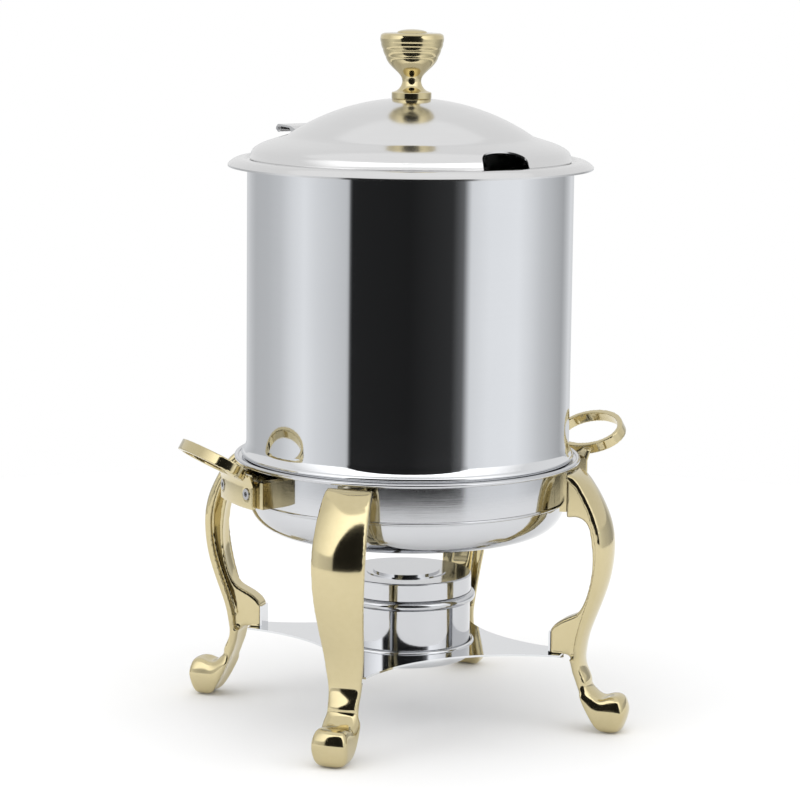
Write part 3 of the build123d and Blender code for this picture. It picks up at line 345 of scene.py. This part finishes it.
# ------------------------------------------------------------------ studio
@dataclass
class Studio:
    """Floor, lamps, a tent that shows in the metal, and the camera.

    The tent has a dark oval behind the camera, tones by angle low on its wall, and a pale top
    that is brighter on the camera's side. Places are in metres, angles in degrees. A lamp is
    its name, angle, distance, height, size and power.
    """

    camera_place: tuple[float, float, float] = (-1.0047, -1.9976, 0.598)
    heading: float = -26.54
    pitch: float = 81.09
    roll: float = 0.63
    lens: float = 131.5
    floor_size: float = 2.16
    tent_radius: float = 2.7
    tent_foot: float = -1.4
    tent_top: float = 3.4
    dark_width: float = 42.0
    dark_middle: float = -0.1
    dark_rise: float = 2.6
    dark_edge: float = 9.0
    pale_from: float = 0.45
    pale_ramp: float = 2.5
    front_gain: float = 1.2
    back_tone: float = 0.88
    tint: tuple[float, float, float] = (0.985, 1.0, 1.02)
    lamps: tuple[tuple[str, float, float, float, float, float], ...] = (
        ("soft_left", -62.0, 2.0, 1.1, 1.5, 9.0), ("soft_right", 68.0, 2.0, 1.1, 1.3, 6.0),
        ("soft_top", 10.0, 0.5, 2.4, 1.6, 9.0))
    lamp_shape: float = 1.2
    aim: tuple[float, float, float] = (0, 0, 0.3)
    tent_tones: tuple[tuple[float, float], ...] = (
        (-180, 0.62), (-158, 0.72), (-136, 0.56), (-116, 0.60), (-101, 0.68), (-88, 0.86),
        (-77, 0.96), (-66, 0.84), (-50, 0.72), (-42.5, 0.66), (-40.5, 0.02), (0, 0.016),
        (29, 0.035), (37, 0.16), (42, 0.84), (56, 0.97), (80, 1.0), (92, 0.86), (104, 0.70),
        (122, 0.55), (134, 0.46), (152, 0.80), (168, 0.70), (180, 0.62))

    def build(self) -> None:
        """Set up the whole studio."""
        self._world()
        self._floor()
        self._tent()
        self._lights()
        self._camera()
        log.info("studio ready")

    def _world(self) -> None:
        """Pale, even surroundings."""
        world = bpy.data.worlds.new("pale_room")
        world.use_nodes = True
        bpy.context.scene.world = world
        back = world.node_tree.nodes["Background"]
        back.inputs["Color"].default_value = (1.0, 1.0, 1.0, 1.0)
        back.inputs["Strength"].default_value = 1.0
        bpy.context.scene.view_settings.view_transform = "Standard"

    def _floor(self) -> None:
        """Plain pale floor."""
        Bench.clear()
        bpy.ops.mesh.primitive_circle_add(vertices=96, radius=self.floor_size / 2,
                                          fill_type="NGON", location=(0, 0, -0.0005))
        floor = bpy.context.object
        floor.name = "studio_floor"
        shop = Shop("pale_floor")
        cloud = shop.noise(shop.place(), 3.0, 2.0)
        Bench.dress(floor, shop.surface(Base_Color=shop.mix(cloud, (0.9, 0.9, 0.9),
                                                            (0.93, 0.93, 0.93)),
                                        Roughness=0.7, Specular_IOR_Level=0.1))

    def _tent(self) -> None:
        """Round tent wall that only shows in reflections: dark towards the camera, pale beside."""
        shop = Shop("tent_cloth")
        point = shop.node("ShaderNodeSeparateXYZ", {}, {0: shop.place()})
        across = Wire(shop, point.socket.node.outputs[0])
        along = Wire(shop, point.socket.node.outputs[1])
        angle = shop.node("ShaderNodeMath", {"operation": "ARCTAN2"},
                          {0: across, 1: along * -1.0})
        height = Wire(shop, point.socket.node.outputs[2]) + (self.tent_top + self.tent_foot) / 2
        oval = ((angle * (1 / radians(self.dark_width))).power(2.0)
                + ((height - self.dark_middle) * (1 / self.dark_rise)).power(2.0))
        outside = ((oval - 1.0) * self.dark_edge).at_least(0.0)
        above = ((height - self.pale_from) * self.pale_ramp).at_least(0.0)
        stops = [(turn / 360 + 0.5, tuple(tone * part for part in self.tint))
                 for turn, tone in self.tent_tones]
        cloth = shop.node("ShaderNodeValToRGB", {"stops": stops}, {0: angle * (0.5 / pi) + 0.5})
        towards = (along * (-1 / self.tent_radius)).at_least(0.0)
        cloth = shop.mix(outside * above, cloth, towards * self.front_gain + self.back_tone)
        Bench.clear()
        bpy.ops.mesh.primitive_cylinder_add(
            vertices=128, radius=self.tent_radius, depth=self.tent_top - self.tent_foot,
            end_fill_type="NOTHING", location=(0, 0, (self.tent_top + self.tent_foot) / 2),
            rotation=(0, 0, radians(self.heading)))
        tent = bpy.context.object
        tent.name = "studio_tent"
        Bench.dress(tent, shop.surface(Base_Color=(0, 0, 0, 1), Roughness=1.0,
                                       Specular_IOR_Level=0.0, Emission_Color=cloth,
                                       Emission_Strength=1.0))
        tent.visible_camera = False
        tent.visible_shadow = False
        tent.visible_diffuse = False

    def _lights(self) -> None:
        """Two soft boxes at the sides and one above."""
        for name, angle, reach, height, size, power in self.lamps:
            data = bpy.data.lights.new(name, "AREA")
            data.shape = "RECTANGLE"
            data.size, data.size_y, data.energy = size, size * self.lamp_shape, power
            lamp = bpy.data.objects.new(name, data)
            bpy.context.scene.collection.objects.link(lamp)
            turn = radians(self.heading + angle)
            lamp.location = (sin(turn) * reach, -cos(turn) * reach, height)
            aim = Vector(self.aim) - lamp.location
            lamp.rotation_euler = aim.to_track_quat("-Z", "Y").to_euler()
            lamp.visible_glossy = False

    def _camera(self) -> None:
        """Long lens, a little above the lid, looking slightly down."""
        data = bpy.data.cameras.new("studio_camera")
        data.lens, data.sensor_width = self.lens, 36.0
        camera = bpy.data.objects.new("studio_camera", data)
        bpy.context.scene.collection.objects.link(camera)
        camera.matrix_world = (Matrix.Translation(self.camera_place)
                               @ Matrix.Rotation(radians(self.heading), 4, "Z")
                               @ Matrix.Rotation(radians(self.pitch), 4, "X")
                               @ Matrix.Rotation(radians(self.roll), 4, "Z"))
        bpy.context.scene.camera = camera


# ------------------------------------------------------------------ cast and turned brass
@dataclass
class Casting:
    """A cast piece: its node's shape with the edges that the polishing wheel rounds off.

    The skin is cast in cells of grain_size millimetres and polished in rounds.
    """

    node: bpy.types.Object
    body: str
    grain_size: float = 0.9
    rounds: int = 6

    def build(self, brass: bpy.types.Material) -> bpy.types.Object:
        """Cast, polish and dress the piece.

        Args:
            brass: its finish.

        Returns:
            The piece, riding on its body.
        """
        piece = bpy.data.objects.new(self.node.name + "_cast", self.node.data.copy())
        bpy.context.scene.collection.objects.link(piece)
        piece.data.materials.clear()
        Bench.clear()
        piece.select_set(True)
        bpy.context.view_layer.objects.active = piece
        self.assemble(piece)
        skin = piece.modifiers.new("skin", "REMESH")
        skin.mode, skin.voxel_size, skin.use_smooth_shade = "VOXEL", self.grain_size * MM, True
        bpy.ops.object.modifier_apply(modifier=skin.name)
        self.shape(piece)
        self.polish(piece, self.rounds)
        Bench.dress(piece, brass)
        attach(piece, self.body)
        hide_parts(self.node.name)
        log.info("cast %s: %d faces", piece.name, len(piece.data.polygons))
        return piece

    def assemble(self, piece: bpy.types.Object) -> None:
        """Put the rough parts together before the skin is cast; a plain casting has one."""

    def shape(self, piece: bpy.types.Object) -> None:
        """Shape the skin before it is polished; a plain casting keeps it."""

    def polish(self, piece: bpy.types.Object, rounds: int, group: str = "") -> None:
        """Round the edges.

        Args:
            piece: the piece.
            rounds: how often the wheel goes over it.
            group: the vertices that it goes over, or all.
        """
        wheel = piece.modifiers.new("wheel", "SMOOTH")
        wheel.factor, wheel.iterations, wheel.vertex_group = 0.5, rounds, group
        bpy.ops.object.modifier_apply(modifier=wheel.name)


@dataclass
class CastLeg(Casting):
    """A leg with a crowned front and a ball toe.

    The crown, the ball and the toe's polish each fade in over a span, so none leaves a step.
    Sizes are in millimetres: a reach is outwards from the kettle's axis, a top above the floor.
    """

    body: str = "stand"
    grain_size: float = 0.85
    rounds: int = 24
    angle: float = 0.0
    crown: float = 5.2
    crown_from: float = 128.0
    crown_span: float = 22.0
    half_width: float = 20.0
    toe_top: float = 66.0
    toe_top_span: float = 24.0
    toe_from: float = 126.0
    toe_span: float = 28.0
    toe_rounds: int = 120
    ball_from: float = 150.0
    ball_span: float = 12.0
    ball_top: float = 46.0
    ball_top_span: float = 16.0
    ball_height: float = 30.0
    ball_width: float = 0.93
    ball_middle: float = 0.46
    ball_flat: float = 0.78

    def shape(self, piece: bpy.types.Object) -> None:
        """Crown the front across its width and round the toe."""
        out = Vector((cos(radians(self.angle)), sin(radians(self.angle)), 0))
        around = Vector((-out.y, out.x, 0))
        toe = piece.vertex_groups.new(name="toe")
        for vertex in piece.data.vertices:
            side = vertex.co.dot(around) / (self.half_width * MM)
            reach, level = vertex.co.dot(out) / MM, vertex.co.z / MM
            front = max(0.0, min(1.0, (reach - self.crown_from) / self.crown_span))
            vertex.co -= out * (self.crown * MM * side * side * front)
            share = (min(1.0, (reach - self.toe_from) / self.toe_span)
                     * min(1.0, (self.toe_top - level) / self.toe_top_span))
            if reach > self.toe_from and share > 0:
                toe.add([vertex.index], share, "REPLACE")
            near = min(1.0, (reach - self.ball_from) / self.ball_span,
                       (self.ball_top - level) / self.ball_top_span)
            squeeze = max(0.0, near) * (self.ball(level) - 1)
            vertex.co += around * (vertex.co.dot(around) * squeeze)
        self.polish(piece, self.toe_rounds, "toe")

    def ball(self, height: float) -> float:
        """Share of the toe's width at a height, rounded towards its top and its sole.

        Args:
            height: height above the floor, in millimetres.

        Returns:
            The share.
        """
        level = min(1.0, height / self.ball_height)
        return self.ball_width * sqrt(1 - ((level - self.ball_middle) / self.ball_flat) ** 2)


@dataclass
class LoopHandle(Casting):
    """A handle: an oval band that leans outwards from its curved foot plate.

    Sizes are in millimetres. The band's depth and width are half-axes, its centre is a reach
    and a height, and the neck is a step outwards and upwards from the foot plate's top.
    """

    body: str = "stand"
    grain_size: float = 0.6
    rounds: int = 7
    angle: float = 0.0
    steps: int = 96
    tilt: float = 30.5
    depth: float = 21.6
    width: float = 37.0
    band: float = 8.6
    wall: float = 4.2
    centre: tuple[float, float] = (163.9, 212.0)
    plate_top: float = 194.4
    neck: tuple[float, float] = (3.2, 9.0)

    def assemble(self, piece: bpy.types.Object) -> None:
        """Keep the foot plate, raise its neck and join the oval band to it."""
        out = Vector((cos(radians(self.angle)), sin(radians(self.angle)), 0))
        bpy.ops.object.mode_set(mode="EDIT")
        bpy.ops.mesh.select_all(action="SELECT")
        bpy.ops.mesh.remove_doubles(threshold=0.00001)
        bpy.ops.mesh.bisect(plane_co=(0, 0, self.plate_top * MM), plane_no=(0, 0, 1),
                            clear_outer=True, use_fill=True)
        bpy.ops.mesh.extrude_region_move(TRANSFORM_OT_translate={
            "value": out * self.neck[0] * MM + Vector((0, 0, self.neck[1] * MM))})
        bpy.ops.object.mode_set(mode="OBJECT")
        Bench.clear()
        bpy.ops.mesh.primitive_circle_add(vertices=self.steps, radius=1.0,
                                          fill_type="NOTHING")
        band = bpy.context.object
        bpy.ops.object.mode_set(mode="EDIT")
        bpy.ops.mesh.select_all(action="SELECT")
        bpy.ops.transform.resize(value=(self.depth * MM, self.width * MM, 1))
        bpy.ops.transform.translate(value=(0, 0, -self.band / 2 * MM))
        bpy.ops.mesh.extrude_region_move(
            TRANSFORM_OT_translate={"value": (0, 0, self.band * MM)})
        bpy.ops.object.mode_set(mode="OBJECT")
        thick = band.modifiers.new("thick", "SOLIDIFY")
        thick.thickness, thick.offset = self.wall * MM, 0.0
        bpy.ops.object.modifier_apply(modifier=thick.name)
        band.rotation_euler = (0, radians(-self.tilt), radians(self.angle))
        band.location = out * self.centre[0] * MM + Vector((0, 0, self.centre[1] * MM))
        bpy.ops.object.transform_apply(location=True, rotation=True, scale=True)
        piece.select_set(True)
        bpy.context.view_layer.objects.active = piece
        bpy.ops.object.join()


@dataclass
class SpunLid:
    """The lid: a spun dome with a rolled edge and an oval ladle notch. Sizes in millimetres."""

    edge: float = 122.4
    seat: float = 433.6
    turn: tuple[float, float] = (94.5, 451.6)
    crown: float = 480.6
    sheet: float = 1.2
    bead: float = 1.0
    shoulder: tuple[tuple[float, float], ...] = (
        (98.5, 450.3), (102.5, 449.1), (106.5, 447.9), (110.5, 446.6), (114.0, 445.2),
        (117.0, 443.7), (119.4, 442.2), (121.0, 440.7), (121.8, 439.0))
    shoulder_tuck: float = 0.35
    dome_steps: int = 24
    spin_steps: int = 192
    sharp: float = 35.0
    notch_angle: float = -81.4
    notch_width: float = 42.0
    notch_depth: float = 13.0
    notch_reach: float = 44.0

    def outer(self, inset: float) -> list[tuple[float, float]]:
        """Points of the dome's section from the axis to the edge.

        Args:
            inset: how far under the outer face the points lie.

        Returns:
            The points.
        """
        rise = self.crown - self.turn[1]
        ball = (self.turn[0] ** 2 + rise ** 2) / (2 * rise)
        dome = [(r, self.crown - ball + sqrt(ball ** 2 - r * r) - inset)
                for r in [self.turn[0] * step / self.dome_steps
                          for step in range(self.dome_steps + 1)]]
        return dome + [(r - inset * self.shoulder_tuck, z - inset) for r, z in self.shoulder]

    def section(self) -> list[tuple[float, float]]:
        """Closed walk round the lid's section, from the axis out and back."""
        low = self.seat + self.bead
        roll = Bench.arc(60, -240, (self.edge, low), self.bead, 12)
        return self.outer(0) + roll + list(reversed(self.outer(self.sheet)))

    def build(self, steel: bpy.types.Material) -> bpy.types.Object:
        """Spin the lid, cut its notch and set it on its seat.

        Args:
            steel: its finish.

        Returns:
            The lid, riding on its body.
        """
        piece = Bench.turned("lid_spun", self.section(), self.spin_steps, self.sharp)
        Bench.clear()
        bpy.ops.mesh.primitive_cylinder_add(vertices=128, radius=1.0,
                                            depth=self.notch_reach * MM)
        cutter = bpy.context.object
        turn = radians(self.notch_angle)
        bpy.ops.object.mode_set(mode="EDIT")
        bpy.ops.mesh.select_all(action="SELECT")
        bpy.ops.transform.resize(value=(self.notch_depth * MM, self.notch_width / 2 * MM, 1))
        bpy.ops.object.mode_set(mode="OBJECT")
        cutter.rotation_euler = (0, 0, turn)
        cutter.location = (cos(turn) * self.edge * MM, sin(turn) * self.edge * MM, self.seat * MM)
        Bench.settled(cutter)
        cut = piece.modifiers.new("notch", "BOOLEAN")
        cut.object, cut.operation, cut.solver = cutter, "DIFFERENCE", "EXACT"
        Bench.clear()
        piece.select_set(True)
        bpy.context.view_layer.objects.active = piece
        bpy.ops.object.modifier_apply(modifier=cut.name)
        bpy.data.objects.remove(cutter)
        bpy.ops.object.shade_smooth_by_angle(angle=radians(self.sharp))
        Bench.dress(piece, steel)
        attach(piece, "lid")
        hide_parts("lid_dome")
        return piece


@dataclass
class Knob:
    """Turned brass knob: foot, waist, cup of stacked rolls and a low cap. Sizes in millimetres."""

    foot: float = 15.2
    foot_height: float = 5.4
    waist: float = 7.2
    rolls: tuple[tuple[float, float], ...] = ((17.4, 26.7), (20.0, 31.9), (22.2, 37.6),
                                              (23.6, 42.3), (24.0, 47.4))
    bulge: float = 0.42
    cap: float = 11.5
    cap_height: float = 2.6

    def section(self) -> list[tuple[float, float]]:
        """Points of the knob's section above its foot, from the axis round to the axis."""
        points = [(0.0, 0.0), (self.foot - 0.6, 0.0), (self.foot, 0.6),
                  (self.foot, self.foot_height - 0.8), (self.foot - 0.5, self.foot_height - 0.2),
                  (self.foot - 1.4, self.foot_height), (11.4, 6.3), (9.6, 7.8), (8.2, 9.8),
                  (7.4, 12.0), (self.waist, 13.6), (7.5, 15.4), (8.3, 17.2), (9.9, 19.2),
                  (12.2, 21.4), (14.8, 23.8), (16.8, 25.9)]
        for low, high in zip(self.rolls, self.rolls[1:]):
            for step in range(9):
                share = step / 8
                swell = self.bulge * sin(pi * share) ** 0.7
                points.append((low[0] + (high[0] - low[0]) * share + swell,
                               low[1] + (high[1] - low[1]) * share))
        points += [(23.9, 48.2), (22.9, 49.2), (21.4, 49.8), (19.0, 49.9), (self.cap + 0.6, 49.8),
                   (self.cap, 50.1)]
        points += [(self.cap * cos(a), 50.1 + self.cap_height * sin(a))
                   for a in (0.25, 0.5, 0.8, 1.1, 1.35)]
        return points + [(0.0, 50.1 + self.cap_height)]

    def build(self, brass: bpy.types.Material) -> bpy.types.Object:
        """Turn the knob and set it on the crown.

        Args:
            brass: its finish.

        Returns:
            The knob, riding on the lid.
        """
        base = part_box("knob")[0].z / MM
        piece = Bench.turned("knob_turned", [(r, z + base) for r, z in self.section()], 96, 32.0)
        Bench.dress(piece, brass)
        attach(piece, "lid")
        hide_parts("knob")
        return piece


@dataclass
class CarriedNodes:
    """Finishes of the nodes that keep their own shape."""

    nodes: dict[str, bpy.types.Object]
    finishes: dict[Metal, tuple[str, ...]] = field(default_factory=lambda: {
        POLISHED: ("jacket", "burner_shelf"),
        PAN_STEEL: ("water_pan", "support_hoop", "burner_cup", "snuffer_cover"),
        SATIN: ("soup_inset", "lid_dome", "hinge_flange_leaf", "hinge_lid_leaf"),
        SCREW: ("hinge_pin", "bracket_bolts", "leg_bolts", "handle_screws_left",
                "handle_screws_right", "shelf_screws", "knob_screw", "knob_washer"),
        TIN: ("fuel_can",),
        BRASS: ("bracket_left", "bracket_right", "bracket_pads", "leg_pads", "handle_left",
                "handle_right", "knob", "leg_back_left", "leg_back_right", "leg_front_left",
                "leg_front_right"),
    })

    def dress(self) -> dict[str, bpy.types.Material]:
        """Give each node its finish.

        Returns:
            The materials by name.
        """
        made: dict[str, bpy.types.Material] = {}
        for finish, names in self.finishes.items():
            made[finish.name] = finish.make()
            for name in names:
                Bench.dress(self.nodes[name], made[finish.name])
        Bench.dress(self.nodes["fuel_gel"], Gel().make())
        log.info("finishes on %d nodes", len(self.nodes))
        return made


def main() -> None:
    """Build the looks in order."""
    logging.basicConfig(level=logging.INFO, format="%(name)s: %(message)s")
    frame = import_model()
    nodes = frame["nodes"]
    finishes = CarriedNodes(nodes).dress()
    brass = finishes[BRASS.name]
    SpunLid().build(finishes[SATIN.name])
    Knob().build(brass)
    for name, angle in (("back_right", 45), ("back_left", 135), ("front_left", 225),
                        ("front_right", 315)):
        CastLeg(nodes["leg_" + name], angle=angle).build(brass)
    for side, angle in (("left", 180), ("right", 0)):
        LoopHandle(nodes["handle_" + side], angle=angle).build(brass)
    Studio().build()


if __name__ == "__main__":
    main()
